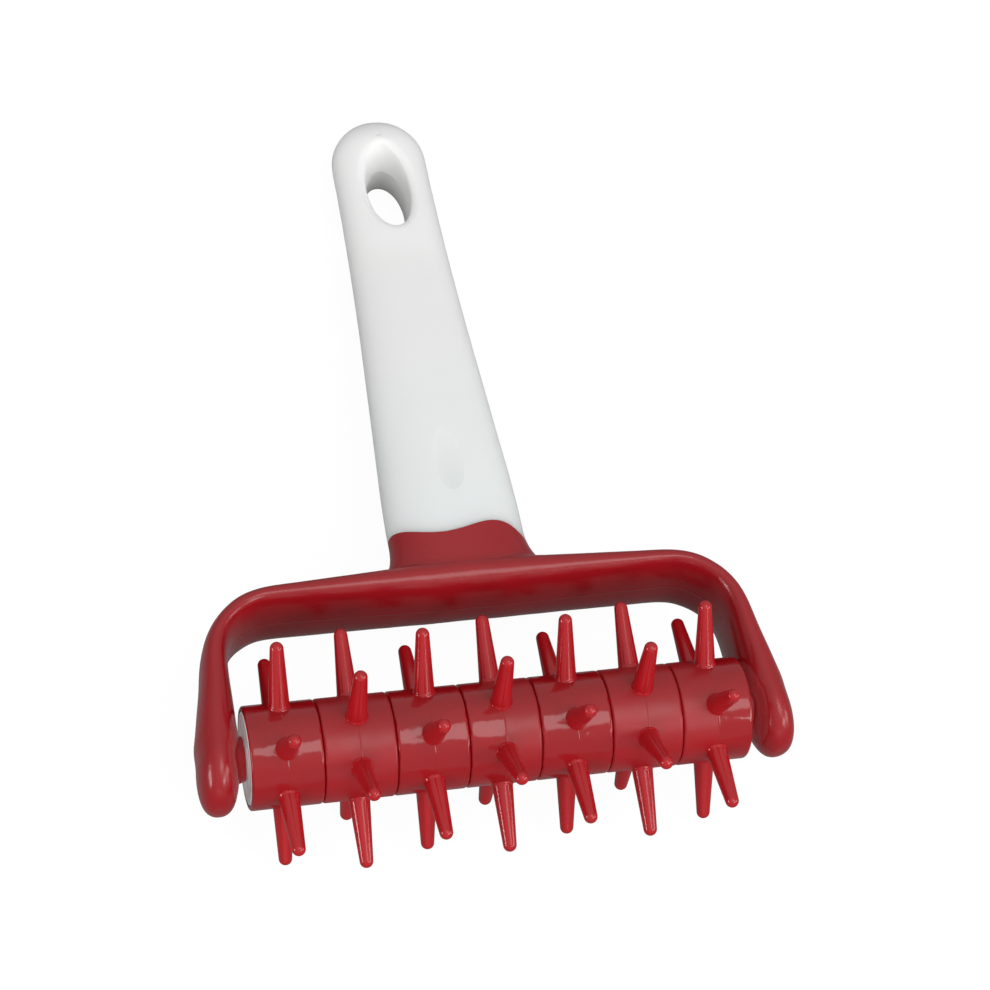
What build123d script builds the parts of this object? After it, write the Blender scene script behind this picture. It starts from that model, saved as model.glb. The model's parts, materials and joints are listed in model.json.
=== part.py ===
from build123d import *
from math import asin, cos, degrees, pi, radians, sin, sqrt, tan
import os

# A dough docker: a fork with a handle, and a roller of spiked rings that turns between the fork's arms.
# All lengths are in millimetres and all angles in degrees.
# It is drawn in the fork's own frame: X along the axle, Y up the handle, Z out of the fork's plane,
# with the axle through the origin. At the end it is laid on a table, on its spikes and its handle's end.

# Spiked rings, all from one mould; every second one is turned end for end
ring_count = 7
ring_pitch = 16.4
rim_radius = 11.9
rim_draft = 0.15
rim_wall = 1.0
rim_chamfer = 0.3
web_width = 4.6
hub_radius = 8.2
hub_recess = 2.0
spikes_per_ring = 6
spike_reach = 27.1
spike_tip_radius = 1.55
spike_root_radius = 2.4

# Core tube, which the rings are threaded on, and its two end caps
core_radius = 6.4
core_wall = 1.7
rib_width = 2.0
rib_height = 0.9
ring_clearance = 0.05
cap_clearance = 0.1
plug_clearance = 0.03
plug_length = 9.0
cap_edge_round = 0.5

# Axle, a plain rod held in blind holes in the arms
axle_radius = 2.5
axle_chamfer = 0.4
axle_seat = 5.0
axle_seat_clearance = 0.02
axle_end_clearance = 0.2
running_clearance = 0.06
end_play = 0.3

# Fork: a bar, two rounded shoulders and two arms, all of one deep section
bar_centre_y = 38.0
bar_shoulder_y = 36.4
arm_top_x = 60.1
arm_foot_x = 63.55
shoulder_bend = 15.4
fork_half_depth = 10.5
bar_mid_half = 5.0
bar_half = 3.8
shoulder_half = 2.8
arm_half = 3.75
foot_half = 4.75
foot_length = 12.5
boss_radius = 5.1
boss_root_radius = 6.6

# Collar and grip share one outer skin, cut in two by a wavy parting line
neck_y = 50.9
neck_half_width = 16.15
neck_half_depth = 9.8
collar_flare = 2.2
wave_height = 1.8
grip_end_y = 177.7
end_half_width = 12.0
end_half_depth = 7.8

# Tang, the fork's tongue inside the grip
tang_root_half_width = 9.5
tang_tip_half_width = 6.5
tang_root_half_depth = 5.0
tang_tip_half_depth = 3.6
tang_tip_y = 131.0
tang_clearance = 0.1

# Hole to hang the tool by, and the thumb rest
hang_y = 153.0
hang_half_length = 10.8
hang_half_width = 5.0
hang_flare_to_end = 4.0
hang_flare_to_bar = 1.6
hang_flare_across = 0.8
hang_draft = 0.3
hang_edge_round = 1.6
hang_back_round = 0.7
thumb_y = 70
thumb_half_length = 10.5
thumb_half_width = 4.4
thumb_depth = 0.5

# Shapes of the sections: 2 is an ellipse, more is squarer
fork_squareness = 2.4
foot_squareness = 2.1
grip_squareness = 2.3
foot_tip_squareness = 2.9
foot_side_squareness = 2.2
grip_tip_squareness = 2.5
section_points = 20
overrun = 2.0

# Places along the fork, as shares of the stretch that each belongs to
bar_thick_share = 0.6
arm_thick_share = 0.35
foot_thick_share = 0.7
fork_steps = 16
round_end_shares = (0.3, 0.55, 0.75, 0.88, 0.96, 0.995)
grip_steps = 24
# How far the grip has tapered, against how far it is from the neck to the rounded end
grip_taper_shares = (
    (0, 0), (0.1, 0.05), (0.25, 0.265), (0.4, 0.485), (0.55, 0.7), (0.7, 0.86), (0.85, 0.96), (1, 1),
)
# The collar's flare, against how far it is from the neck down to the bar's centre line
collar_flare_shares = ((0, 0), (0.25, 0.12), (0.4, 0.4), (0.55, 0.85), (0.7, 1), (1, 1))
# The parting line: across the half width, and up by the wave's height
wave_shares = (
    (-1.3, 1.4), (-1, 1.05), (-0.84, 0.35), (-0.55, -0.8), (-0.24, -1.25), (0.1, -0.73),
    (0.5, 0.05), (0.7, -0.25), (0.86, -1.15), (1, -2), (1.3, -3.2),
)

# Sizes that follow from those above
roller_half = ring_count * ring_pitch / 2
spike_step = 360 / spikes_per_ring
stagger = spike_step / 4
spike_tip_centre = spike_reach - spike_tip_radius
core_bore = core_radius - core_wall
rim_bore = rim_radius - rim_draft - rim_wall
cap_radius = rim_bore - cap_clearance
boss_face_x = roller_half + end_play
axle_height = spike_tip_centre * cos(radians(stagger)) + spike_tip_radius
nose_centre_y = grip_end_y - end_half_width


def sign(value):
    return (value > 0) - (value < 0)


def read_curve(table, place):
    """The height, at a place, of a smooth curve through a table of (place, height) pairs."""
    places = [x for x, _ in table]
    heights = [y for _, y in table]
    last = len(table) - 1
    place = min(max(place, places[0]), places[last])
    i = max(k for k in range(last) if places[k] <= place)
    slopes = []
    for k in (i, i + 1):
        before, after = max(k - 1, 0), min(k + 1, last)
        slopes.append((heights[after] - heights[before]) / (places[after] - places[before]))
    span = places[i + 1] - places[i]
    t = (place - places[i]) / span
    rise = heights[i + 1] - heights[i]
    curl = slopes[0] * span - rise
    uncurl = rise - slopes[1] * span
    return heights[i] + rise * t + t * (1 - t) * (curl * (1 - t) + uncurl * t)


def section(centre, across, half_width, half_depth, squareness):
    """A closed smooth curve in the plane of the given direction and Z."""
    points = []
    for i in range(section_points):
        turn = 2 * pi * (i + 1 / 2) / section_points
        u = half_width * sign(cos(turn)) * abs(cos(turn)) ** (2 / squareness)
        w = half_depth * sign(sin(turn)) * abs(sin(turn)) ** (2 / squareness)
        points.append(centre + across * u + Vector(0, 0, w))
    return Wire([Spline(*points, periodic=True)])


def rod(radius, x_start, x_end):
    """A round bar along X."""
    return Plane(origin=(x_start, 0, 0), z_dir=(1, 0, 0)) * Cylinder(
        radius, x_end - x_start, align=(Align.CENTER, Align.CENTER, Align.MIN)
    )


def turned(points):
    """A solid turned about X from an outline of (x, radius) points."""
    return revolve(make_face(Polyline(*points, close=True)), Axis.X)


# Fork

def fork_path():
    """The half fork's centre line: its straight bar, its bend and its arm."""
    centre = Vector(0, bar_centre_y)
    corner = Vector(arm_top_x, bar_shoulder_y)
    foot = Vector(arm_foot_x, 0)
    along_bar = (corner - centre).normalized()
    along_arm = (foot - corner).normalized()
    bend = radians(along_bar.get_angle(along_arm))
    cut_back = shoulder_bend * tan(bend / 2)
    return centre, corner, foot, along_bar, along_arm, bend, cut_back


def fork_lengths():
    centre, corner, foot, _, _, bend, cut_back = fork_path()
    return (corner - centre).length - cut_back, shoulder_bend * bend, (foot - corner).length - cut_back


def fork_place(s):
    """Point and direction at a length s along the centre line, counted from the middle of the bar."""
    centre, corner, foot, along_bar, along_arm, bend, cut_back = fork_path()
    straight, curve, _ = fork_lengths()
    side = sign(s) or 1
    s = abs(s)
    if s <= straight:
        point, heading = centre + along_bar * s, along_bar
    elif s <= straight + curve:
        angle = (s - straight) / shoulder_bend
        heading = along_bar.rotate(Axis.Z, -degrees(angle))
        inward = Vector(along_bar.Y, -along_bar.X)
        hub = corner - along_bar * cut_back + inward * shoulder_bend
        point = hub - Vector(heading.Y, -heading.X) * shoulder_bend
    else:
        point, heading = corner + along_arm * (cut_back + s - straight - curve), along_arm
    return Vector(side * point.X, point.Y), Vector(heading.X, side * heading.Y)


def fork_half_thickness(s):
    straight, curve, arm = fork_lengths()
    keys = (
        (-straight * bar_thick_share, bar_half),
        (0, bar_mid_half),
        (straight * bar_thick_share, bar_half),
        (straight + curve / 2, shoulder_half),
        (straight + curve + arm * arm_thick_share, arm_half),
        (straight + curve + arm * foot_thick_share, foot_half),
        (straight + curve + arm + foot_length, foot_half),
    )
    return read_curve(keys, s)


def fork_section(s):
    """The section at a length s, shrinking to nothing where a foot rounds off."""
    straight, curve, arm = fork_lengths()
    arm_start = straight + curve
    keys = ((0, fork_squareness), (arm_start, fork_squareness), (arm_start + arm, foot_squareness))
    squareness = read_curve(keys, abs(s))
    point, heading = fork_place(s)
    outward = Vector(-heading.Y, heading.X)
    over = max(abs(s) - arm_start - arm, 0) / foot_length
    narrow = (1 - over**foot_tip_squareness) ** (1 / foot_tip_squareness)
    shallow = (1 - over**foot_side_squareness) ** (1 / foot_side_squareness)
    return section(point, outward, fork_half_thickness(abs(s)) * narrow, fork_half_depth * shallow, squareness)


def fork_beam():
    """Bar, shoulders and arms in one smooth skin, with rounded feet."""
    reach = sum(fork_lengths())
    right = [reach * i / fork_steps for i in range(1, fork_steps + 1)]
    right += [reach + foot_length * share for share in round_end_shares]
    stations = [-s for s in reversed(right)] + [0] + right
    return Solid.make_loft([fork_section(s) for s in stations])


def boss(side):
    """The short cone inside an arm that carries the axle and spaces the roller off the arm."""
    outline = [(boss_face_x, 0), (boss_face_x, boss_radius), (arm_foot_x, boss_root_radius), (arm_foot_x, 0)]
    cone = turned(outline)
    return cone if side > 0 else cone.mirror(Plane.YZ)


# Collar and grip

def grip_half_sizes(y):
    """Half the width and half the depth of the grip or its collar."""
    taper = read_curve(grip_taper_shares, (y - neck_y) / (nose_centre_y - neck_y))
    flare = read_curve(collar_flare_shares, (neck_y - y) / (neck_y - bar_centre_y))
    half_width = neck_half_width + taper * (end_half_width - neck_half_width) + flare * collar_flare
    half_depth = neck_half_depth + taper * (end_half_depth - neck_half_depth)
    over = max(y - nose_centre_y, 0) / end_half_width
    narrow = sqrt(1 - over**2)
    shallow = (1 - over**grip_tip_squareness) ** (1 / grip_tip_squareness)
    return half_width * narrow, half_depth * shallow


def grip_section(y):
    return section(Vector(0, y), Vector(1, 0), *grip_half_sizes(y), grip_squareness)


def grip_skin():
    """The outer skin of collar and grip in one, from inside the bar to the rounded end."""
    length = nose_centre_y - bar_centre_y
    places = [bar_centre_y + length * i / grip_steps for i in range(grip_steps + 1)]
    places += [nose_centre_y + end_half_width * share for share in round_end_shares]
    return Solid.make_loft([grip_section(y) for y in places])


def below_parting_line():
    """Everything on the roller's side of the wavy line between collar and grip."""
    wave = Spline(*[(x * neck_half_width, neck_y + up * wave_height) for x, up in wave_shares])
    left, right = wave @ 0, wave @ 1
    sides = Polyline(right, (right.X, 0), (left.X, 0), left)
    half_depth = neck_half_depth + overrun
    return extrude(make_face([wave, sides]), half_depth, both=True)


def tang(gap):
    """The tongue inside the grip; with a gap it is the pocket that the tongue sits in."""
    def slab(y, half_width, half_depth):
        plane = Plane(origin=(0, y, 0), x_dir=(1, 0, 0), z_dir=(0, 1, 0))
        return plane * RectangleRounded(2 * (half_width + gap), 2 * (half_depth + gap), half_depth / 2)

    root = slab(bar_centre_y, tang_root_half_width, tang_root_half_depth)
    tip = slab(tang_tip_y + gap, tang_tip_half_width, tang_tip_half_depth)
    return loft([root, tip])


def oval(half_width, half_length):
    """A full oval in two halves, so that the rounded mouths of the hole have two faces each."""
    right = EllipticalCenterArc((0, 0), half_width, half_length, start_angle=-90, arc_size=180)
    left = EllipticalCenterArc((0, 0), half_width, half_length, start_angle=90, arc_size=180)
    return make_face([right, left])


def hang_hole():
    """An oval hole. Its upper mouth flares, most of all towards the grip's end; below it is nearly straight."""
    depth = neck_half_depth + overrun
    past_face = depth / end_half_depth
    longer = (hang_flare_to_end + hang_flare_to_bar) / 2 * past_face
    shift = (hang_flare_to_end - hang_flare_to_bar) / 2 * past_face
    draft = hang_draft * past_face
    waist = oval(hang_half_width, hang_half_length)
    mouth = oval(hang_half_width + hang_flare_across * past_face, hang_half_length + longer)
    back = oval(hang_half_width + draft, hang_half_length + draft)
    upper = loft([waist, Pos(0, shift, depth) * mouth])
    lower = loft([waist, Pos(0, 0, -depth) * back])
    return Pos(0, hang_y, 0) * (upper + lower)


def thumb_rest():
    """A shallow oval hollow in the face that is uppermost."""
    _, half_depth = grip_half_sizes(thumb_y)
    narrow = 2 * thumb_depth / thumb_half_width
    bowl = scale(Sphere(thumb_half_width), by=(1, thumb_half_length / thumb_half_width, narrow))
    return Pos(0, thumb_y, half_depth + thumb_depth) * bowl


def is_mouth(edge, way):
    """Whether an edge runs round the hanging hole in the upper (1) or lower (-1) face."""
    middle = edge.center(CenterOf.BOUNDING_BOX)
    near = abs(middle.X) < hang_half_width and abs(middle.Y - hang_y) < hang_half_length / 2
    return near and way * middle.Z > end_half_depth / 2


def make_grip(skin):
    holed = skin - hang_hole()
    for way, radius in ((1, hang_edge_round), (-1, hang_back_round)):
        holed = fillet([edge for edge in holed.edges() if is_mouth(edge, way)], radius)
    return holed - below_parting_line() - tang(tang_clearance) - thumb_rest()


def make_fork(skin):
    collar = skin & below_parting_line()
    fork = fork_beam() + collar + tang(0) + boss(1) + boss(-1)
    seat = boss_face_x + axle_seat
    return fork - rod(axle_radius + axle_seat_clearance, -seat, -boss_face_x) - rod(
        axle_radius + axle_seat_clearance, boss_face_x, seat
    )


# Roller

def spike():
    """A tapered pin with a ball tip, along Z: the hull of a ball at its root and one at its tip."""
    root_z = rim_bore
    taper = asin((spike_root_radius - spike_tip_radius) / (spike_tip_centre - root_z))
    foot = (spike_root_radius * cos(taper), root_z + spike_root_radius * sin(taper))
    neck = (spike_tip_radius * cos(taper), spike_tip_centre + spike_tip_radius * sin(taper))
    half_open = (pi / 2 - taper) / 2
    crown = (spike_tip_radius * sin(half_open), spike_tip_centre + spike_tip_radius * cos(half_open))
    outline = [
        Line((0, root_z), (foot[0], root_z)),
        Line((foot[0], root_z), foot),
        Line(foot, neck),
        ThreePointArc(neck, crown, (0, spike_reach)),
        Line((0, spike_reach), (0, root_z)),
    ]
    return revolve(Plane.XZ * make_face(outline), Axis.Z)


def ring_blank():
    """Rim, web and hub, with the rim a little larger at mid width, where the two mould halves meet."""
    half = ring_pitch / 2
    edge = rim_radius - rim_draft
    bore = core_radius + ring_clearance
    rim = turned([
        (-half, rim_bore), (-half, edge - rim_chamfer), (-half + rim_chamfer, edge), (0, rim_radius),
        (half - rim_chamfer, edge), (half, edge - rim_chamfer), (half, rim_bore),
    ])
    web = rod(rim_bore + rim_wall / 2, -web_width / 2, web_width / 2)
    hub = rod(hub_radius, hub_recess - half, half - hub_recess)
    return rim + web + hub - rod(bore, -half, half)


def keyways(gap, length):
    """Two opposite ribs on the core, or with a gap the grooves that they run in."""
    depth = 2 * (core_radius + rib_height + gap)
    return Box(length, rib_width + 2 * gap, depth)


def make_ring(index):
    """One ring in its place: its grooves lie a quarter of a spike step from a spike, so that
    turning it end for end moves its spikes by half a step."""
    way = 1 if index % 2 == 0 else -1
    ring = ring_blank()
    for i in range(spikes_per_ring):
        ring += spike().rotate(Axis.X, 180 + way * stagger + i * spike_step)
    ring -= keyways(ring_clearance, ring_pitch)
    return ring.translate((ring_pitch * (index - (ring_count - 1) / 2), 0, 0))


def make_core():
    half = roller_half - hub_recess
    ribs = keyways(0, 2 * half)
    return rod(core_radius, -half, half) + ribs - rod(core_bore, -half, half)


def make_cap(side):
    """A disc that closes the end ring, with a plug in the core and a bearing bore for the axle."""
    inner = roller_half - hub_recess
    bore = axle_radius + running_clearance
    outline = [
        (inner - plug_length, bore), (inner - plug_length, core_bore - plug_clearance),
        (inner, core_bore - plug_clearance), (inner, cap_radius), (roller_half - cap_edge_round, cap_radius),
        (roller_half, cap_radius - cap_edge_round), (roller_half, bore),
    ]
    cap = turned(outline)
    return cap if side > 0 else cap.mirror(Plane.YZ)


def make_axle():
    half = boss_face_x + axle_seat - axle_end_clearance
    return turned([
        (-half, 0), (-half, axle_radius - axle_chamfer), (-half + axle_chamfer, axle_radius),
        (half - axle_chamfer, axle_radius), (half, axle_radius - axle_chamfer), (half, 0),
    ])


# Laying it on the table

def rest_tilt():
    """How far the handle droops when its rounded end and two rows of spikes touch the table."""
    tilt = 0
    power = grip_tip_squareness / (grip_tip_squareness - 1)
    for _ in range(section_points):
        across, through = end_half_width * abs(sin(tilt)), end_half_depth * cos(tilt)
        end_drop = (across**power + through**power) ** (1 / power)
        tilt = asin((axle_height - end_drop) / nose_centre_y)
    return degrees(tilt)


def lay_down(shape, centre_y):
    return shape.rotate(Axis.X, -rest_tilt()).translate((0, -centre_y, axle_height))


os.makedirs("parts", exist_ok=True)
skin = grip_skin()
pieces = {
    "fork": make_fork(skin),
    "grip": make_grip(skin),
    "axle": make_axle(),
}
# The roller keeps upright while the fork tilts, so its pieces are turned back by the tilt first
turning = {
    "core_tube": make_core(),
    "end_cap_left": make_cap(-1),
    "end_cap_right": make_cap(1),
}
for index in range(ring_count):
    turning[f"spike_ring_{index + 1}"] = make_ring(index)
for name, shape in turning.items():
    pieces[name] = shape.rotate(Axis.X, rest_tilt())

laid = {name: lay_down(shape, 0) for name, shape in pieces.items()}
boxes = [shape.bounding_box() for shape in laid.values()]
low_y = min(box.min.Y for box in boxes)
high_y = max(box.max.Y for box in boxes)
centre_y = (low_y + high_y) / 2
for name, shape in pieces.items():
    export_step(lay_down(shape, centre_y), f"parts/{name}.step")

print("rest tilt", round(rest_tilt(), 3), "axle at y", round(-centre_y, 4), "z", round(axle_height, 4))
print("length", round(high_y - low_y, 2))
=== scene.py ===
# %% [markdown]
# # A dough docker, dressed in Blender
# A dough docker is rolled over a sheet of dough to prick it. This one is a red fork with a white grip,
# and a roller of seven red rings with blunt spikes. The engineering model gives every piece its size
# and its place. It comes in first, and nothing in it is moved.

# %% Load the engineering model
import json
from math import cos, pi, radians, sin

import bpy
from mathutils import Matrix, Vector


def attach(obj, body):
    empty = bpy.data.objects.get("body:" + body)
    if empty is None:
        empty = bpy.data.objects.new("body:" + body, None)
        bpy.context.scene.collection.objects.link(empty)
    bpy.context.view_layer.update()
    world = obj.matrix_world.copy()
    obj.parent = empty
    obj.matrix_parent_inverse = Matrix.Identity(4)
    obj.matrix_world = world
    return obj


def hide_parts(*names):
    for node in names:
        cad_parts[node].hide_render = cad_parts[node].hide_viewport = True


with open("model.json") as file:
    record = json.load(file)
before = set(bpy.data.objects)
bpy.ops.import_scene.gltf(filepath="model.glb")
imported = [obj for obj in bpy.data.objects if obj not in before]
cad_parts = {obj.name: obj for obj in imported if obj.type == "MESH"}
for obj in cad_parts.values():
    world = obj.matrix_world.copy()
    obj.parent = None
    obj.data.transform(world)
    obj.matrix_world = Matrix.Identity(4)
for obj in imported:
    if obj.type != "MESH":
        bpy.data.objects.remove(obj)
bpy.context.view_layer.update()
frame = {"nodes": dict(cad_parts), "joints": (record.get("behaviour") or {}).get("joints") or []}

print("pieces from the engineering model:", sorted(frame["nodes"]))

# %% [markdown]
# Sizes are easier to read in millimetres, and Blender works in metres, so one short name turns one into
# the other. The joint's record says where the axle is, and the rings are all placed from that point.
# The fork droops a little towards its handle, because the tool lies on its spikes and on the grip's end.
# One helper therefore finds a point from where it is on the fork: across it, along it and above it.

# %% Units, the axle and the fork's droop
mm = 0.001
axle = Vector(frame["joints"][0]["pos_m"])
droop = radians(6.318)
fork_along = Vector((0, cos(droop), -sin(droop)))
fork_up = Vector((0, sin(droop), cos(droop)))


def fork_point(across, along, above):
    return axle + Matrix.Rotation(-droop, 3, "X") @ Vector((across * mm, along * mm, above * mm))


print("the axle is", round(axle.y / mm, 1), "mm along and", round(axle.z / mm, 1), "mm up")

# %% [markdown]
# Colours are picked on a screen, as sRGB hex values, but the renderer adds up light in linear
# numbers. One function does the change, so no colour is ever typed twice in two forms.

# %% Colours from hex
def colour(hex_value):
    parts = [int(hex_value[i:i + 2], 16) / 255 for i in (1, 3, 5)]
    linear = [p / 12.92 if p <= 0.04045 else ((p + 0.055) / 1.055) ** 2.4 for p in parts]
    return (*linear, 1)


print("crimson in linear light:", [round(v, 3) for v in colour("#A0161C")])

# %% [markdown]
# A material is a small graph of nodes. One function adds a node, sets what it is told to set, and joins
# the links that it is given. Every material below is written with it.

# %% A function that adds one node
def add_node(tree, kind, links=None, inputs=None, **settings):
    node = tree.nodes.new(kind)
    for name, value in settings.items():
        setattr(node, name, value)
    for name, value in (inputs or {}).items():
        node.inputs[name].default_value = value
    for name, source in (links or {}).items():
        tree.links.new(source, node.inputs[name])
    return node


def new_material(name):
    material = bpy.data.materials.new(name)
    material.use_nodes = True
    material.node_tree.nodes.clear()
    return material, material.node_tree


# %% [markdown]
# ## Plastic
# All the plastic here is polypropylene, dyed through and injection moulded. Up close such a surface is
# never one flat colour. The dye flows unevenly over some tens of millimetres, so a noise of that size on
# Object coordinates blends a paler shade with a deeper one. The grip is a little cooler near the fork,
# and a second blend along Y does that. The Mix node has sockets of its own for colours: inputs 6 and 7
# are blended into output 2.

# %% Dye that flows unevenly
dye_patch = 26 * mm
cool_start, cool_end = axle.y + 45 * mm, axle.y + 125 * mm
mix_a, mix_b, mix_result = 6, 7, 2


def flowing_dye(tree, place, pale_hex, deep_hex, cool_hex):
    flow = add_node(tree, "ShaderNodeTexNoise", links={"Vector": place},
                    inputs={"Scale": 1 / dye_patch, "Detail": 2.0})
    dye = add_node(tree, "ShaderNodeMix", data_type="RGBA", links={"Factor": flow.outputs["Fac"]},
                   inputs={mix_a: colour(pale_hex), mix_b: colour(deep_hex)}).outputs[mix_result]
    if cool_hex:
        parts = add_node(tree, "ShaderNodeSeparateXYZ", links={"Vector": place})
        near = add_node(tree, "ShaderNodeMapRange", interpolation_type="SMOOTHSTEP",
                        links={"Value": parts.outputs["Y"]},
                        inputs={"From Min": cool_start, "From Max": cool_end, "To Min": 1.0, "To Max": 0.0})
        dye = add_node(tree, "ShaderNodeMix", data_type="RGBA", links={"Factor": near.outputs[0], mix_a: dye},
                       inputs={mix_b: colour(cool_hex)}).outputs[mix_result]
    return dye


print("the grip is coolest up to", round((cool_start - axle.y) / mm), "mm from the axle")

# %% [markdown]
# The skin isn't flat either. As the plastic cools it sinks into faint waves a few millimetres across, and
# its outermost skin shrinks into an orange peel about a millimetre across. Both are far too shallow to
# model, so they are bumps. The marks that the mould leaves are laid over them in the same way.

# %% A skin with waves, orange peel and marks
wave_patch = 5 * mm
peel_patch = 1.1 * mm
peel_strength = 0.35


def moulded_skin(tree, place, wave_depth, peel_depth, marks):
    waves = add_node(tree, "ShaderNodeTexNoise", links={"Vector": place},
                     inputs={"Scale": 1 / wave_patch, "Detail": 1.5})
    normal = add_node(tree, "ShaderNodeBump", links={"Height": waves.outputs["Fac"]},
                      inputs={"Strength": 1.0, "Distance": wave_depth}).outputs["Normal"]
    peel = add_node(tree, "ShaderNodeTexNoise", links={"Vector": place},
                    inputs={"Scale": 1 / peel_patch, "Detail": 1.0})
    normal = add_node(tree, "ShaderNodeBump", links={"Height": peel.outputs["Fac"], "Normal": normal},
                      inputs={"Strength": peel_strength, "Distance": peel_depth}).outputs["Normal"]
    for mark in marks:
        height, rise = mark(tree, place)
        normal = add_node(tree, "ShaderNodeBump", links={"Height": height, "Normal": normal},
                          inputs={"Strength": 1.0, "Distance": rise}).outputs["Normal"]
    return normal


print("waves", round(wave_patch / mm, 1), "mm and orange peel", round(peel_patch / mm, 1), "mm across")

# %% [markdown]
# The polish of the steel mould wanders from place to place too, so a last noise moves the roughness up and
# down around its middle value. The gloss itself comes from the shader: plastic reflects about 4% head on,
# at an IOR of 1.49. White plastic also takes light in and gives it back a few millimetres away, which
# keeps its shadows pale. Subsurface scattering does that, and the glow says how much of it there is.

# %% Moulded polypropylene
plastic_ior = 1.49
polish_patch = 6 * mm
noise_low, noise_high = 0.3, 0.7
smoother, rougher = 0.88, 1.14


def moulded_plastic(name, pale_hex, deep_hex, roughness, peel_depth=0.004 * mm, wave_depth=0.03 * mm,
                    glow=0.0, glow_depth=3 * mm, cool_hex=None, marks=()):
    """Dyed polypropylene. A mark is a function that gives a height from 0 to 1 and how far 1 rises."""
    material, tree = new_material(name)
    place = add_node(tree, "ShaderNodeTexCoord").outputs["Object"]
    dye = flowing_dye(tree, place, pale_hex, deep_hex, cool_hex)
    polish = add_node(tree, "ShaderNodeTexNoise", links={"Vector": place},
                      inputs={"Scale": 1 / polish_patch, "Detail": 3.0})
    gloss = add_node(tree, "ShaderNodeMapRange", links={"Value": polish.outputs["Fac"]},
                     inputs={"From Min": noise_low, "From Max": noise_high,
                             "To Min": roughness * smoother, "To Max": roughness * rougher})
    normal = moulded_skin(tree, place, wave_depth, peel_depth, marks)
    shader = add_node(tree, "ShaderNodeBsdfPrincipled",
                      links={"Base Color": dye, "Roughness": gloss.outputs[0], "Normal": normal},
                      inputs={"IOR": plastic_ior, "Subsurface Weight": glow,
                              "Subsurface Radius": (1, 1, 1), "Subsurface Scale": glow_depth})
    add_node(tree, "ShaderNodeOutputMaterial", links={"Surface": shader.outputs["BSDF"]})
    print(name, "is", pale_hex, "to", deep_hex, "at roughness", roughness)
    return material


# %% [markdown]
# Where the two halves of a mould meet they leave a fine line. On the fork and the grip it runs all round,
# half way through their depth. Near the grip's end a small dimple shows where the plastic went in. The
# line is drawn by how far a point is from a plane, and the dimple by how far it is from its middle. Each
# fades out over a few tenths of a millimetre.

# %% Mould line and gate mark
line_core, line_edge, line_rise = 0.05 * mm, 0.4 * mm, 0.06 * mm
gate_core, gate_edge, gate_depth = 0.3 * mm, 0.9 * mm, 0.3 * mm
gate_middle = fork_point(0, 170.0, 7.57)


def mould_line(tree, place):
    up = add_node(tree, "ShaderNodeVectorMath", operation="DOT_PRODUCT", links={0: place},
                  inputs={1: fork_up})
    away = add_node(tree, "ShaderNodeMath", operation="SUBTRACT", links={0: up.outputs["Value"]},
                    inputs={1: fork_up.dot(axle)})
    far = add_node(tree, "ShaderNodeMath", operation="ABSOLUTE", links={0: away.outputs[0]})
    line = add_node(tree, "ShaderNodeMapRange", interpolation_type="SMOOTHSTEP",
                    links={"Value": far.outputs[0]},
                    inputs={"From Min": line_core, "From Max": line_edge, "To Min": 1.0, "To Max": 0.0})
    return line.outputs[0], line_rise


def gate_mark(tree, place):
    far = add_node(tree, "ShaderNodeVectorMath", operation="DISTANCE", links={0: place},
                   inputs={1: gate_middle})
    dimple = add_node(tree, "ShaderNodeMapRange", interpolation_type="SMOOTHSTEP",
                      links={"Value": far.outputs["Value"]},
                      inputs={"From Min": gate_core, "From Max": gate_edge, "To Min": 0.0, "To Max": 1.0})
    return dimple.outputs[0], gate_depth


print("the gate mark is", [round(v / mm, 1) for v in gate_middle], "mm from the middle of the table")

# %% [markdown]
# The fork is a satin crimson. The rings come out of a polished mould, but only parts of it are mirror
# smooth: there the softbox shows as a sharp pale band, and on the rest it blurs away. The spikes are thin,
# so light goes a little way into them. They look brighter and more saturated than the rims, so their
# colour is painted a shade lighter here, as a painted glow for that light. The grip has a satin skin too, and
# the caps have a polished one.

# %% The crimson and white mouldings
fork_crimson = moulded_plastic("crimson_polypropylene_satin_mould", "#9E141C", "#94111A", 0.23,
                               marks=[mould_line])
rim_polished = moulded_plastic("crimson_polypropylene_mirror_mould", "#9E1119", "#940E16", 0.1,
                               peel_depth=0.002 * mm, wave_depth=0.2 * mm)
rim_satin = moulded_plastic("crimson_polypropylene_fine_blasted_mould", "#A1141C", "#971119", 0.36,
                            wave_depth=0.08 * mm)
# The spikes' colour is painted lighter than the rims' to stand in for the light that goes into them.
pin_crimson = moulded_plastic("crimson_polypropylene_thin_pins", "#B6151D", "#A6121A", 0.15)
grip_white = moulded_plastic("white_polypropylene_satin_mould", "#F8F8F6", "#F4F5F4", 0.34, glow=0.85,
                             glow_depth=6 * mm, cool_hex="#EEF4F3", marks=[mould_line, gate_mark])
cap_white = moulded_plastic("white_polypropylene_polished_mould", "#FBFBFA", "#F7F8F7", 0.1,
                            peel_depth=0.002 * mm, glow=0.7)

# %% [markdown]
# The axle is a drawn steel rod. Drawing and polishing leave fine scratches that run round it, so a noise
# squeezed along X makes narrow bands of slightly different roughness.

# %% Drawn steel
scratch_width, scratch_length = 0.15 * mm, 4 * mm
smoothest, roughest = 0.18, 0.36

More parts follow.
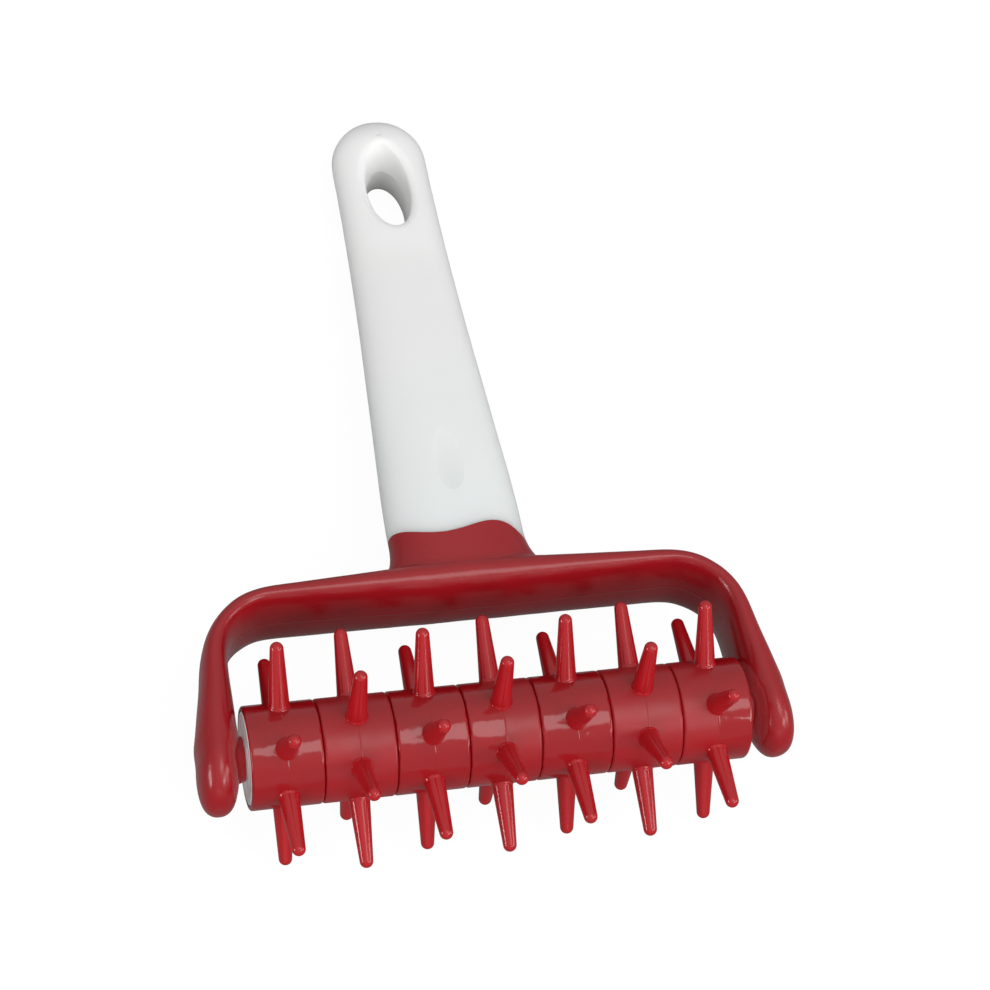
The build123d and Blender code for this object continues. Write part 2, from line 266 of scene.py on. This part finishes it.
axle_steel, tree = new_material("drawn_stainless_steel")
place = add_node(tree, "ShaderNodeTexCoord").outputs["Object"]
squeeze = add_node(tree, "ShaderNodeMapping", links={"Vector": place},
                   inputs={"Scale": (1 / scratch_width, 1 / scratch_length, 1 / scratch_length)})
scratch = add_node(tree, "ShaderNodeTexNoise", links={"Vector": squeeze.outputs["Vector"]},
                   inputs={"Scale": 1.0, "Detail": 2.0})
shine = add_node(tree, "ShaderNodeMapRange", links={"Value": scratch.outputs["Fac"]},
                 inputs={"To Min": smoothest, "To Max": roughest})
shader = add_node(tree, "ShaderNodeBsdfPrincipled", inputs={"Base Color": colour("#C3C4C2"), "Metallic": 1.0},
                  links={"Roughness": shine.outputs[0]})
add_node(tree, "ShaderNodeOutputMaterial", links={"Surface": shader.outputs["BSDF"]})
print("scratches", round(scratch_width / mm, 2), "mm wide run round the axle")

# %% [markdown]
# Four pieces keep the engineering model's own mesh, because its curves are fine enough to show as they are.
# They only change their material. The core tube and the caps are of the same white plastic.

# %% Dress the pieces that keep their mesh
dressing = {"fork": fork_crimson, "grip": grip_white, "axle": axle_steel, "core_tube": cap_white}
for name, finish in dressing.items():
    frame["nodes"][name].data.materials.clear()
    frame["nodes"][name].data.materials.append(finish)
    print(name, "is now", finish.name)

# %% [markdown]
# ## How pieces are shaped
# New pieces are made as they would be by hand: a primitive, then operators in edit mode. An operator acts
# on whatever is selected, so each step starts by selecting faces or points by where they are. Four short
# helpers start with nothing selected, do the selecting, apply a modifier and measure what was made.

# %% Helpers for shaping by hand
def start_clean():
    if bpy.context.object and bpy.context.object.mode != "OBJECT":
        bpy.ops.object.mode_set(mode="OBJECT")
    bpy.ops.object.select_all(action="DESELECT")


def pick(test, kind="FACE"):
    """Select the faces or points of the piece in hand whose centre and normal pass a test."""
    piece = bpy.context.object
    bpy.ops.object.mode_set(mode="EDIT")
    bpy.ops.mesh.select_mode(type=kind)
    bpy.ops.mesh.select_all(action="DESELECT")
    bpy.ops.object.mode_set(mode="OBJECT")
    if kind == "FACE":
        for face in piece.data.polygons:
            face.select = test(face.center, face.normal)
        picked = sum(face.select for face in piece.data.polygons)
    else:
        for point in piece.data.vertices:
            point.select = test(point.co, point.normal)
        picked = sum(point.select for point in piece.data.vertices)
    bpy.ops.object.mode_set(mode="EDIT")
    return picked


def apply_modifier(piece, kind, **settings):
    bpy.ops.object.mode_set(mode="OBJECT")
    modifier = piece.modifiers.new(kind.lower(), kind)
    for name, value in settings.items():
        setattr(modifier, name, value)
    bpy.context.view_layer.objects.active = piece
    bpy.ops.object.modifier_apply(modifier=modifier.name)


def describe(piece):
    triangles = sum(len(face.vertices) - 2 for face in piece.data.polygons)
    size = [round(v / mm, 2) for v in piece.dimensions]
    print(piece.name, "has", triangles, "triangles and measures", size, "mm")


# %% [markdown]
# A face looks along X when the X part of its normal is close to one. Two places count as the same when
# they are a hundredth of a millimetre apart or less. Rounded edges take four steps, and shading is smooth
# wherever two faces meet at less than 35 degrees.

# %% Limits that the tests share
along_x = 0.9
touching = 0.01 * mm
round_steps = 4
smooth_below = radians(35)
print("points closer than", round(touching / mm, 3), "mm are taken as one")

# %% [markdown]
# ## A ring's rim
# The rim is a short drum, 16.4 mm wide. It is 0.15 mm larger at mid width than at its ends, and there the two
# halves of the mould met and left a hair line. The drum starts as a cylinder with its axis along X.
# Resizing the end faces gives the draft, and bisecting it gives the loops for the hair line.

# %% Sizes of a ring
ring_pitch = 16.4 * mm
rim_radius = 11.9 * mm
rim_draft = 0.15 * mm
rim_bore = 10.75 * mm
web_half = 2.3 * mm
hub_radius = 8.2 * mm
hub_recess = 2.0 * mm
core_hole = 6.45 * mm
ring_gap = 0.04 * mm
corner_round = 0.6 * mm
hair_line_half = 0.13 * mm
hair_line_rise = 0.05 * mm
rim_sides = 192
ring_half = ring_pitch / 2 - ring_gap
print("a ring is", round(2 * ring_half / mm, 2), "mm wide and", round(2 * rim_radius / mm, 2), "mm across")

# %% The drum with its draft and hair line
start_clean()
bpy.ops.mesh.primitive_cylinder_add(vertices=rim_sides, radius=rim_radius, depth=2 * ring_half,
                                    rotation=(0, pi / 2, 0))
rim = bpy.context.object
rim.name = "ring_template"
bpy.ops.object.transform_apply(location=False, rotation=True, scale=False)
pick(lambda centre, normal: abs(normal.x) > along_x)
narrow = (rim_radius - rim_draft) / rim_radius
bpy.ops.transform.resize(value=(1, narrow, narrow))
for cut in (-hair_line_half, 0, hair_line_half):
    bpy.ops.mesh.select_all(action="SELECT")
    bpy.ops.mesh.bisect(plane_co=(cut, 0, 0), plane_no=(1, 0, 0))
print("points on the hair line:", pick(lambda place, normal: abs(place.x) < hair_line_half / 2, "VERT"))
crown = (rim_radius + hair_line_rise) / rim_radius
bpy.ops.transform.resize(value=(1, crown, crown))

# %% [markdown]
# The end faces are inset and pushed in and out, as the mould's core does: first the rim's wall, then the
# web, then the hub that slides on the core tube. Both ends are worked at once. Shrink/fatten moves each face
# along its own normal.

# %% Web, hub and bore
pick(lambda centre, normal: abs(normal.x) > along_x)
bpy.ops.mesh.inset(thickness=rim_radius - rim_draft - rim_bore)
bpy.ops.mesh.extrude_region_shrink_fatten(TRANSFORM_OT_shrink_fatten={"value": web_half - ring_half})
bpy.ops.mesh.inset(thickness=rim_bore - hub_radius)
hub_rise = ring_half - hub_recess - web_half
bpy.ops.mesh.extrude_region_shrink_fatten(TRANSFORM_OT_shrink_fatten={"value": hub_rise})
bpy.ops.mesh.inset(thickness=hub_radius - core_hole)
bpy.ops.mesh.delete(type="FACE")
bpy.ops.mesh.select_mode(type="EDGE")
bpy.ops.mesh.select_all(action="DESELECT")
bpy.ops.mesh.select_non_manifold()
bpy.ops.mesh.bridge_edge_loops()
bpy.ops.object.mode_set(mode="OBJECT")
describe(rim)

# %% [markdown]
# The rim's corners are rounded by 0.6 mm, and a hair of air is left between two rings. Together they make
# the dark, soft groove between neighbours, and its far side catches the light as a thin pink line. The
# corner edges are found by their place, and a bevel rounds them. Smooth shading blends normals across a
# whole face, so a narrow strip beside each corner and beside the hair line keeps that blend off the broad,
# straight part of the rim.

# %% Rounded corners
corner_zone = 0.3 * mm
corner_strip = 1.3 * corner_round

bpy.ops.object.mode_set(mode="EDIT")
bpy.ops.mesh.select_mode(type="EDGE")
bpy.ops.mesh.select_all(action="DESELECT")
bpy.ops.object.mode_set(mode="OBJECT")
points = rim.data.vertices
for edge in rim.data.edges:
    ends = [points[i].co for i in edge.vertices]
    edge.select = all(abs(abs(p.x) - ring_half) < touching and p.yz.length > rim_radius - corner_zone
                      for p in ends)
bpy.ops.object.mode_set(mode="EDIT")
bpy.ops.mesh.bevel(offset=corner_round, segments=round_steps, profile=0.5, affect="EDGES")
for cut in (ring_half - corner_strip, 2 * hair_line_half):
    for side in (1, -1):
        bpy.ops.mesh.select_all(action="SELECT")
        bpy.ops.mesh.bisect(plane_co=(side * cut, 0, 0), plane_no=(1, 0, 0))
bpy.ops.object.mode_set(mode="OBJECT")
describe(rim)

# %% [markdown]
# Two grooves in the bore take the core tube's ribs, so that the rings turn together. They lie a quarter of a
# spike step from a spike. One long box cuts both with a Boolean modifier.

# %% Grooves for the core's ribs
groove_width = 2.1 * mm
groove_span = 14.7 * mm

start_clean()
bpy.ops.mesh.primitive_cube_add(size=1)
box = bpy.context.object
box.scale = (2 * ring_pitch, groove_width, groove_span)
bpy.ops.object.transform_apply(location=False, rotation=False, scale=True)
apply_modifier(rim, "BOOLEAN", object=box, operation="DIFFERENCE", solver="EXACT")
bpy.data.objects.remove(box)
describe(rim)

# %% [markdown]
# ## A spike
# A spike is a tapered pin with a ball tip. The ball comes first. Its lower half is taken off, and its open
# edge is drawn down to the foot and widened. At the foot the pin flares into the rim, as the mould's corner
# is never quite sharp. Each foot step is a height above the rim and a radius. The last loop is laid on the
# rim with a Shrinkwrap modifier.

# %% Ball, shank and foot
spike_tip_radius = 1.55 * mm
spike_tip_centre = 25.55 * mm
foot_steps = [(0.4 * mm, 2.38 * mm), (0.15 * mm, 2.42 * mm), (0.03 * mm, 2.5 * mm), (-0.02 * mm, 2.62 * mm)]

start_clean()
bpy.ops.mesh.primitive_uv_sphere_add(segments=32, ring_count=16, radius=spike_tip_radius,
                                     location=(0, 0, spike_tip_centre))
pin = bpy.context.object
pin.name = "spike_template"
bpy.ops.object.transform_apply(location=True, rotation=False, scale=False)
pick(lambda place, normal: place.z < spike_tip_centre - touching, "VERT")
bpy.ops.mesh.delete(type="VERT")
radius, height = spike_tip_radius, spike_tip_centre
for above_rim, foot_radius in foot_steps:
    edge_height = height
    pick(lambda place, normal: place.z < edge_height + touching / 2, "VERT")
    lower = rim_radius + above_rim
    bpy.ops.mesh.extrude_region_move(TRANSFORM_OT_translate={"value": (0, 0, lower - height)})
    bpy.ops.transform.resize(value=(foot_radius / radius, foot_radius / radius, 1))
    radius, height = foot_radius, lower
bpy.ops.object.mode_set(mode="OBJECT")
foot = pin.vertex_groups.new(name="foot")
foot.add([p.index for p in pin.data.vertices if p.co.z < height + touching / 2], 1, "REPLACE")
apply_modifier(pin, "SHRINKWRAP", target=rim, wrap_method="PROJECT", use_project_z=True,
               use_positive_direction=True, use_negative_direction=True, vertex_group="foot", offset=touching)
describe(pin)

# %% [markdown]
# The open foot is then drawn a little way into the wall of the rim and closed, so the pin is a closed shell.

# %% Close the foot
foot_depth = 0.5 * mm

start_clean()
bpy.context.view_layer.objects.active = pin
pin.select_set(True)
bpy.ops.object.mode_set(mode="EDIT")
bpy.ops.mesh.select_mode(type="VERT")
bpy.ops.mesh.select_all(action="DESELECT")
bpy.ops.mesh.select_non_manifold()
bpy.ops.mesh.extrude_region_move(TRANSFORM_OT_translate={"value": (0, 0, -foot_depth)})
bpy.ops.mesh.edge_face_add()
bpy.ops.mesh.select_all(action="SELECT")
bpy.ops.mesh.normals_make_consistent(inside=False)
bpy.ops.object.mode_set(mode="OBJECT")
describe(pin)

# %% [markdown]
# ## Seven rings
# Six spikes stand a sixth of a turn apart, 15 degrees off the line of the grooves. Each copy gets its own
# mesh, turned about the axle's line. Rim and spikes are joined into one piece, with a slot for each finish.

# %% Six spikes on a rim
spikes_per_ring = 6
first_spike, spike_step = 15, 60
polished, satin, thin_pin = 0, 1, 2


def copy_of(template, name, matrix):
    copy = bpy.data.objects.new(name, template.data.copy())
    copy.data.transform(matrix)
    bpy.context.scene.collection.objects.link(copy)
    return copy


def join_into(piece, others):
    start_clean()
    for other in others:
        other.select_set(True)
    piece.select_set(True)
    bpy.context.view_layer.objects.active = piece
    bpy.ops.object.join()


for finish in (rim_polished, rim_satin, pin_crimson):
    rim.data.materials.append(finish)
    pin.data.materials.append(finish)
for face in pin.data.polygons:
    face.material_index = thin_pin
pins = [copy_of(pin, f"pin_{k}", Matrix.Rotation(radians(first_spike + spike_step * k), 4, "X"))
        for k in range(spikes_per_ring)]
join_into(rim, pins)
bpy.ops.object.shade_smooth_by_angle(angle=smooth_below)
describe(rim)

# %% [markdown]
# Every second ring is the same moulding turned end for end, which staggers its spikes by half a step. Some
# rims mirror the softbox from end to end, some on one side of the hair line only, and two not at all, so
# the polish of each half is chosen ring by ring.

# %% Place the rings and pick their polish
ring_count, middle_ring = 7, 4
end_for_end = Matrix.Rotation(pi, 4, "Z")
as_it_is = Matrix.Identity(4)
polished_halves = {1: "both", 3: "both", 4: "left", 5: "both", 7: "right"}

for k in range(1, ring_count + 1):
    turned = end_for_end if k % 2 == 0 else as_it_is
    middle = (k - middle_ring) * ring_pitch
    ring = copy_of(rim, f"ring_{k}", Matrix.Translation((middle, axle.y, axle.z)) @ turned)
    shiny = polished_halves.get(k, "none")
    for face in ring.data.polygons:
        if face.material_index != thin_pin:
            side = "left" if face.center.x < middle else "right"
            face.material_index = polished if shiny in ("both", side) else satin
    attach(ring, "roller")
    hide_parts(f"spike_ring_{k}")
    describe(ring)
bpy.data.objects.remove(rim)
bpy.data.objects.remove(pin)

# %% [markdown]
# ## End caps
# A glossy white disc closes each end of the roller. Its rim is rounded, its face is dished a little between
# the rim and a low hub, and its plug sits inside the core tube. It is made from a short cylinder, and its
# outer face is shaped by insets from the rim inwards.

# %% Sizes of a cap
cap_radius = 10.65 * mm
cap_inner = 55.4 * mm
cap_outer = 57.4 * mm
cap_round = 0.5 * mm
cap_flat = 1.6 * mm
dish_slope = 0.8 * mm
dish_depth = 0.3 * mm
hub_foot = 4.4 * mm
hub_top = 3.9 * mm
plug_radius = 4.67 * mm
plug_length = 9.0 * mm
axle_hole = 2.56 * mm
cap_sides = 128
cap_width = cap_outer - cap_inner
print("a cap is", round(2 * cap_radius / mm, 1), "mm across and", round(cap_width / mm, 1), "mm thick")

# %% The outer face of a cap
start_clean()
bpy.ops.mesh.primitive_cylinder_add(vertices=cap_sides, radius=cap_radius, depth=cap_width,
                                    rotation=(0, pi / 2, 0), location=((cap_inner + cap_outer) / 2, 0, 0))
cap = bpy.context.object
cap.name = "cap_template"
bpy.ops.object.transform_apply(location=True, rotation=True, scale=False)
pick(lambda centre, normal: normal.x > along_x)
bpy.ops.mesh.bevel(offset=cap_round, segments=round_steps, profile=0.5, affect="EDGES")
pick(lambda centre, normal: normal.x > along_x and centre.x > cap_outer - touching)
bpy.ops.mesh.inset(thickness=cap_flat)
bpy.ops.mesh.inset(thickness=dish_slope, depth=-dish_depth)
bpy.ops.mesh.inset(thickness=cap_radius - cap_round - cap_flat - dish_slope - hub_foot)
bpy.ops.mesh.inset(thickness=hub_foot - hub_top, depth=dish_depth)
bpy.ops.mesh.inset(thickness=hub_top - axle_hole)
bpy.ops.mesh.delete(type="FACE")

# %% [markdown]
# The inner face is inset and drawn out to make the plug. Both faces are then open in the middle, and their
# two round edges are bridged to make the wall of the axle's hole.

# %% The plug and the axle's hole
pick(lambda centre, normal: normal.x < -along_x)
bpy.ops.mesh.inset(thickness=cap_radius - plug_radius)
bpy.ops.mesh.extrude_region_move(TRANSFORM_OT_translate={"value": (-plug_length, 0, 0)})
bpy.ops.mesh.inset(thickness=plug_radius - axle_hole)
bpy.ops.mesh.delete(type="FACE")
bpy.ops.mesh.select_mode(type="EDGE")
bpy.ops.mesh.select_all(action="DESELECT")
bpy.ops.mesh.select_non_manifold()
bpy.ops.mesh.bridge_edge_loops()
bpy.ops.mesh.select_all(action="SELECT")
bpy.ops.mesh.normals_make_consistent(inside=False)
bpy.ops.object.mode_set(mode="OBJECT")
bpy.ops.object.shade_smooth_by_angle(angle=smooth_below)
cap.data.materials.append(cap_white)
describe(cap)

# %% [markdown]
# The cap was made at the right end of the roller. The left one is a copy of it, turned end for end.

# %% Place the caps
for side, turned in (("left", end_for_end), ("right", as_it_is)):
    piece = copy_of(cap, f"cap_{side}", Matrix.Translation((0, axle.y, axle.z)) @ turned)
    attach(piece, "roller")
    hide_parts(f"end_cap_{side}")
    describe(piece)
bpy.data.objects.remove(cap)

# %% [markdown]
# ## Where the collar flows into the bar
# On the real fork the collar swells out of the bar in one soft curve, while the engineering model meets it
# at a crease. A copy of that corner is remeshed to even small faces and smoothed. Smoothing fills a hollow
# corner and shrinks an outer one, so laid over the model only the soft fillet shows. The corner is cut out
# generously at first and trimmed again afterwards, because smoothing also rounds the edges of the cut.

# %% Cut the corner out of a copy of the fork
def trim_to(half_width, start, end):
    """Keep of the piece in hand what lies in a block of the fork, given in millimetres."""
    bpy.ops.object.mode_set(mode="EDIT")
    bpy.ops.mesh.select_mode(type="VERT")
    for place, normal in ((fork_point(half_width, 0, 0), Vector((1, 0, 0))),
                          (fork_point(-half_width, 0, 0), Vector((-1, 0, 0))),
                          (fork_point(0, end, 0), fork_along), (fork_point(0, start, 0), -fork_along)):
        bpy.ops.mesh.select_all(action="SELECT")
        bpy.ops.mesh.bisect(plane_co=place, plane_no=normal, use_fill=True, clear_outer=True)
    bpy.ops.object.mode_set(mode="OBJECT")


start_clean()
fillet = bpy.data.objects.new("collar_fillet", frame["nodes"]["fork"].data.copy())
bpy.context.scene.collection.objects.link(fillet)
bpy.context.view_layer.objects.active = fillet
fillet.select_set(True)
bpy.ops.object.mode_set(mode="EDIT")
bpy.ops.mesh.select_all(action="SELECT")
bpy.ops.mesh.remove_doubles(threshold=touching / 10)
trim_to(half_width=30, start=30, end=53)
describe(fillet)

# %% [markdown]
# A voxel remesh gives faces of one size, which smooth evenly. The result is then shrunk by 0.02 mm, so that
# it lies just under the fork's own skin wherever no fillet is needed.

# %% Remesh it and smooth the crease
even_face = 0.4 * mm
smooth_rounds = 60
shrink = 0.02 * mm
fillet_smooth_below = radians(50)

apply_modifier(fillet, "REMESH", mode="VOXEL", voxel_size=even_face)
apply_modifier(fillet, "SMOOTH", factor=0.5, iterations=smooth_rounds)
apply_modifier(fillet, "DISPLACE", mid_level=0.0, strength=-shrink)
trim_to(half_width=27, start=38.5, end=47.2)
bpy.ops.object.shade_smooth_by_angle(angle=fillet_smooth_below)
fillet.data.materials.clear()
fillet.data.materials.append(fork_crimson)
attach(fillet, "holder")
describe(fillet)

# %% [markdown]
# ## Camera
# The photograph was taken from above the roller, a little to its left, with a long lens. Place, angles and
# focal length were fitted to the tips of thirty spikes. The focal length came out in pixels, and the
# picture is 990 pixels wide.

# %% Camera
focal_pixels = 2848.82
picture_pixels = 990
sensor_mm = 36

camera_data = bpy.data.cameras.new("camera")
camera = bpy.data.objects.new("camera", camera_data)
bpy.context.scene.collection.objects.link(camera)
bpy.context.scene.camera = camera
camera_data.sensor_width = sensor_mm
camera_data.lens = focal_pixels / picture_pixels * sensor_mm
camera_data.clip_start = 0.05
camera.location = (-0.1281786, -0.3013703, 0.6202606)
camera.rotation_euler = (radians(26.91835), radians(-8.42803), radians(-9.70555))
print("the lens is", round(camera_data.lens, 1), "mm")

# %% [markdown]
# ## Floor and world
# The ground in the photograph is pure white. More light would bleach the grip, so the white comes from what
# the camera's own rays meet: they see mostly an even white, with a little of the real, lit floor mixed in,
# which keeps a soft shadow. Rays that light the object meet the dimmer studio alone. Glossy rays meet some of
# the white, as the red plastic in the photograph mirrors a ground that is paler than grey but not white.

# %% How much of the white a ray meets
def white_share(tree, seen_share, mirrored_share):
    path = add_node(tree, "ShaderNodeLightPath")
    seen = add_node(tree, "ShaderNodeMath", operation="MAXIMUM",
                    links={0: path.outputs["Is Camera Ray"], 1: path.outputs["Is Transmission Ray"]})
    whole = add_node(tree, "ShaderNodeMath", operation="MULTIPLY", links={0: seen.outputs[0]},
                     inputs={1: seen_share})
    part = add_node(tree, "ShaderNodeMath", operation="MULTIPLY", links={0: path.outputs["Is Glossy Ray"]},
                    inputs={1: mirrored_share})
    larger = add_node(tree, "ShaderNodeMath", operation="MAXIMUM",
                      links={0: whole.outputs[0], 1: part.outputs[0]})
    return larger.outputs[0]


# %% [markdown]
# The floor is far wider than the picture, so that its edge never shows. Its own grey is what the lamps light,
# and the even white is what the camera mostly sees.

# %% Floor
floor_size = 6
even_white = 1.46

start_clean()
bpy.ops.mesh.primitive_plane_add(size=floor_size, location=(0, 0, 0))
floor = bpy.context.object
floor.name = "floor"
material, tree = new_material("pale_floor")
pale = add_node(tree, "ShaderNodeBsdfDiffuse", inputs={"Color": colour("#7A7A7A")})
white = add_node(tree, "ShaderNodeEmission", inputs={"Color": colour("#FFFFFF"), "Strength": even_white})
mix = add_node(tree, "ShaderNodeMixShader",
               links={0: white_share(tree, seen_share=0.65, mirrored_share=0.08),
                      1: pale.outputs[0], 2: white.outputs[0]})
add_node(tree, "ShaderNodeOutputMaterial", links={"Surface": mix.outputs[0]})
floor.data.materials.append(material)
print("the floor is", floor_size, "m wide")

# %% [markdown]
# The studio around the tool is a white room: bright overhead, where the softbox lights its ceiling, and
# dimmer towards the walls. Its brightness in a direction is a weighted sum of the squares of that
# direction's parts, which is smooth everywhere. The weights are for left and right, front and back, and up.

# %% World
room_weights = (0.14, 0.38, 0.94)

world = bpy.data.worlds.new("studio")
bpy.context.scene.world = world
world.use_nodes = True
tree = world.node_tree
tree.nodes.clear()
way = add_node(tree, "ShaderNodeTexCoord").outputs["Generated"]
squares = add_node(tree, "ShaderNodeVectorMath", operation="MULTIPLY", links={0: way, 1: way})
room = add_node(tree, "ShaderNodeVectorMath", operation="DOT_PRODUCT", links={0: squares.outputs["Vector"]},
                inputs={1: room_weights})
dim = add_node(tree, "ShaderNodeBackground", inputs={"Color": colour("#FFFFFF")},
               links={"Strength": room.outputs["Value"]})
bright = add_node(tree, "ShaderNodeBackground", inputs={"Color": colour("#FFFFFF"), "Strength": 1.0})
mix = add_node(tree, "ShaderNodeMixShader",
               links={0: white_share(tree, seen_share=1.0, mirrored_share=0.3),
                      1: dim.outputs[0], 2: bright.outputs[0]})
add_node(tree, "ShaderNodeOutputWorld", links={"Surface": mix.outputs[0]})
print("the room's brightness is", room_weights[2], "overhead")

# %% [markdown]
# ## Lamps
# The highlights tell where the lamps were. A large softbox hangs over the roller, a little to the front
# and right: it is the pale band on the rims. One stands low on the left and one higher on the right: they
# are the two dots on every spike's tip and the pink line on the seams. A fourth, in front on the right, is
# the second band on the last ring. A low fill in front gives light without being mirrored. Every lamp is a
# rectangle that faces the axle, with its sizes in metres. A flat lamp sends out pi times its radiance and
# its area, and that product is the power that Blender asks for.

# %% Softboxes
def softbox(name, direction, distance, width, height, radiance, mirrored=True):
    lamp = bpy.data.lights.new(name, "AREA")
    lamp.shape = "RECTANGLE"
    lamp.size = width
    lamp.size_y = height
    lamp.energy = radiance * pi * width * height
    box = bpy.data.objects.new(name, lamp)
    bpy.context.scene.collection.objects.link(box)
    way = Vector(direction).normalized()
    box.location = axle + way * distance
    box.rotation_euler = way.to_track_quat("Z", "Y").to_euler()
    box.visible_camera = False
    box.visible_glossy = mirrored
    print(name, "gives", round(lamp.energy, 2), "W")
    return box


softbox("top_softbox", (0.22, -0.2, 0.95), distance=1.2, width=0.5, height=0.62, radiance=2.6)
softbox("left_softbox", (-0.97, -0.1, 0.12), distance=1.3, width=0.6, height=0.28, radiance=8.6)
softbox("right_softbox", (0.88, -0.277, 0.385), distance=1.3, width=0.5, height=0.5, radiance=3.6)
softbox("front_right_softbox", (0.52, -0.62, 0.6), distance=1.3, width=0.5, height=0.35, radiance=5.6)
softbox("front_fill", (-0.15, -0.95, 0.27), distance=1.3, width=0.8, height=0.3, radiance=7.2,
        mirrored=False)

# %% [markdown]
# In the photograph the end cap is nearly as white as the ground, although the arm shades it. A small card of
# light, linked to the caps alone, lifts them here and leaves all other pieces as they are.

# %% A card for the caps
card = softbox("cap_card", (-0.8, -0.2, 0.56), distance=0.4, width=0.12, height=0.12, radiance=9.0,
               mirrored=False)
lit = bpy.data.collections.new("lit_by_the_card")
for side in ("left", "right"):
    lit.objects.link(bpy.data.objects[f"cap_{side}"])
card.light_linking.receiver_collection = lit
card.light_linking.blocker_collection = lit

# %% [markdown]
# ## Finish
# The colours go to the picture as they are.

# %% Finish
bpy.context.scene.view_settings.view_transform = "Standard"
